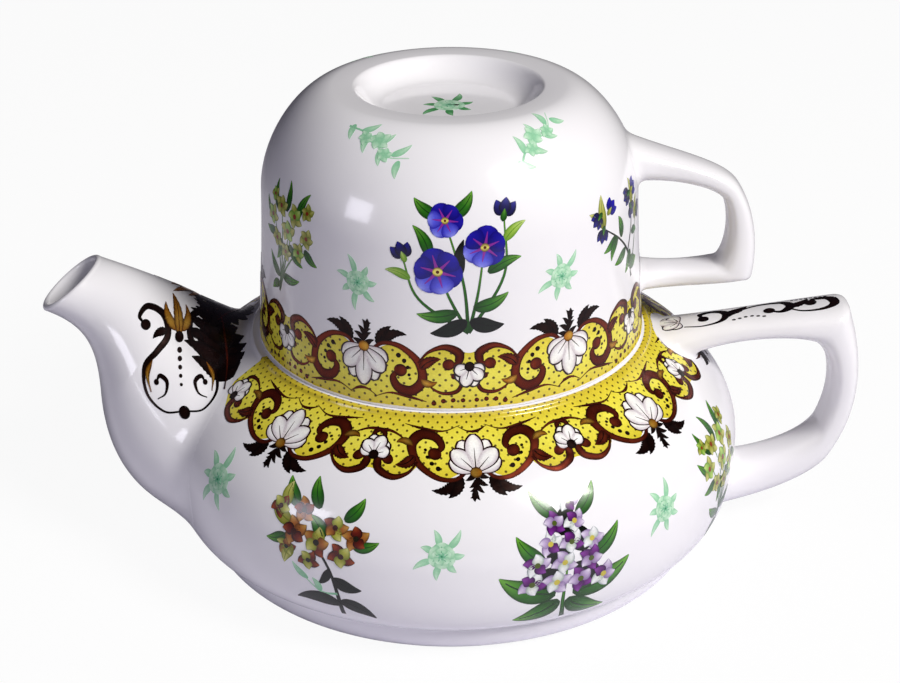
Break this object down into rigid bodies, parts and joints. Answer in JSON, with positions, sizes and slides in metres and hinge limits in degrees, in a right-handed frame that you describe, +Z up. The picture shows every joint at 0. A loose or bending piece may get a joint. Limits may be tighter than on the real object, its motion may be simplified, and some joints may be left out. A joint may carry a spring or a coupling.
{
  "type": "tea for one teapot",
  "caption": "Low round porcelain teapot with an inner lid and a handled cup standing upside down on its shoulder.",
  "frame": {"origin": "middle of the pot's foot, on the surface it stands on", "axes": "+Z up, the spout points along -X and both handles along +X"},
  "size_m": [0.1925, 0.1364, 0.1114],
  "materials": {
    "pot_glaze": "white glazed porcelain with printed flowers, a yellow band and gilt scrolls",
    "lid_glaze": "plain white glazed porcelain",
    "cup_glaze": "white glazed porcelain with printed flowers, a yellow band and gilt scrolls"
  },
  "bodies": {
    "root": {"teapot": "pot_glaze", "lid": "lid_glaze", "cup": "cup_glaze"}
  },
  "joints": []
}
